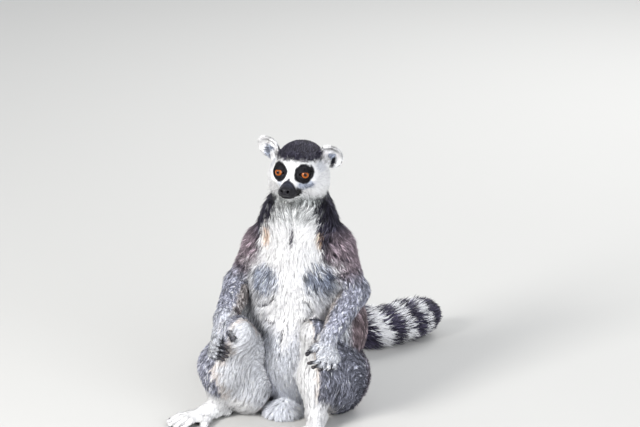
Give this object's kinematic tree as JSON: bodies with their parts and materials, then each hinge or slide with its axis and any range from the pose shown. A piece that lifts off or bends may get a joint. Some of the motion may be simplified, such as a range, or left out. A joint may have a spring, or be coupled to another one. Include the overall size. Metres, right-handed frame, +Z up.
{
  "type": "ring-tailed lemur",
  "caption": "Life-size ring-tailed lemur sitting upright with its knees drawn up, hands over its knees and its ringed tail curled on the ground behind it; a still figure.",
  "frame": {"origin": "on the ground under the middle of the rump, where the seated animal rests", "axes": "+Z up; the animal faces -Y, its left side is +X, and its tail curls on the ground towards +Y"},
  "size_m": [0.2979, 0.5142, 0.3917],
  "materials": {
    "coat_white": "soft white fur",
    "coat_grey": "speckled blue-grey fur",
    "coat_brown": "brown-grey fur",
    "coat_charcoal": "charcoal fur",
    "coat_black": "black fur",
    "bare_skin": "bare black skin, slightly moist",
    "eye": "wet amber eye"
  },
  "bodies": {
    "root": {"head": "coat_white", "nose": "bare_skin", "eye_right": "eye", "eye_left": "eye", "ear_right": "coat_white", "ear_left": "coat_white", "neck": "coat_charcoal", "chest": "coat_white", "belly": "coat_white", "rump": "coat_brown", "upper_arm_right": "coat_brown", "forearm_right": "coat_grey", "hand_right": "bare_skin", "upper_arm_left": "coat_brown", "forearm_left": "coat_grey", "hand_left": "bare_skin", "thigh_right": "coat_grey", "shin_right": "coat_grey", "foot_right": "coat_white", "thigh_left": "coat_grey", "shin_left": "coat_grey", "foot_left": "coat_white", "tail_1": "coat_black", "tail_2": "coat_white", "tail_3": "coat_black", "tail_4": "coat_white", "tail_5": "coat_black"}
  },
  "joints": []
}
